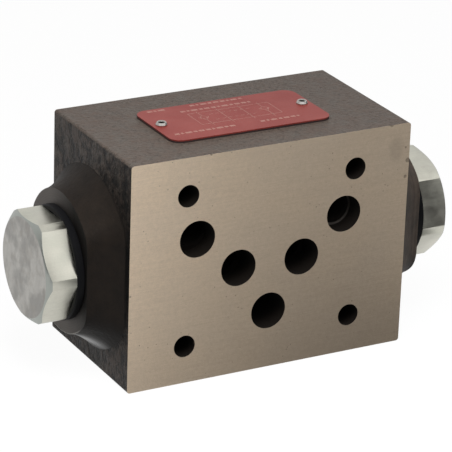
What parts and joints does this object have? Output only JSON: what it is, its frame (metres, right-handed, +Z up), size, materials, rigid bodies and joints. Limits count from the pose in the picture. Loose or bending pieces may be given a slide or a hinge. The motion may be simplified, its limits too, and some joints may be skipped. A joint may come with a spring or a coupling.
{
  "type": "pilot operated non-return valve",
  "caption": "Stacking double pilot operated non-return valve with ground port faces, hexagon plugs at both ends and a plate on top.",
  "frame": {"origin": "middle of the bottom face of the block, at half its depth", "axes": "+X along the main bore from the left plug to the right plug, +Y from the valve-side port face to the subplate side, +Z up towards the name plate"},
  "size_m": [0.1316, 0.0504, 0.0709],
  "materials": {
    "ground_iron": "ground faces, cast rest",
    "zinc_steel": "zinc plated, yellow-green passivated",
    "dark_seal_ring": "black phosphated steel with a rubber lip",
    "hard_steel": "ground",
    "spring_steel": "drawn wire",
    "seal_rubber": "moulded",
    "red_plate": "red anodised",
    "rivet_steel": "bright"
  },
  "bodies": {
    "housing": {"valve_body": "ground_iron", "left_plug": "zinc_steel", "right_plug": "zinc_steel", "left_plug_seal": "dark_seal_ring", "right_plug_seal": "dark_seal_ring", "left_seat": "hard_steel", "right_seat": "hard_steel", "left_seat_seal": "seal_rubber", "right_seat_seal": "seal_rubber", "left_spring": "spring_steel", "right_spring": "spring_steel", "name_plate": "red_plate", "plate_rivets": "rivet_steel", "port_seal_p": "seal_rubber", "port_seal_a": "seal_rubber", "port_seal_b": "seal_rubber", "port_seal_t": "seal_rubber", "port_seal_t1": "seal_rubber"},
    "pilot_piston": {"pilot_piston": "hard_steel"},
    "left_poppet": {"left_poppet": "hard_steel"},
    "right_poppet": {"right_poppet": "hard_steel"}
  },
  "joints": [
    {"name": "pilot_piston_slide", "type": "slide", "parent": "housing", "child": "pilot_piston", "axis": [1, 0, 0], "range_m": [-0.0015, 0.0015]},
    {"name": "left_poppet_lift", "type": "slide", "parent": "housing", "child": "left_poppet", "axis": [-1, 0, 0], "range_m": [0, 0.0035], "stiffness_N_per_m": 5000, "springref_m": -0.006, "deforming": ["left_spring"]},
    {"name": "right_poppet_lift", "type": "slide", "parent": "housing", "child": "right_poppet", "axis": [1, 0, 0], "range_m": [0, 0.0035], "stiffness_N_per_m": 5000, "springref_m": -0.006, "deforming": ["right_spring"]}
  ]
}
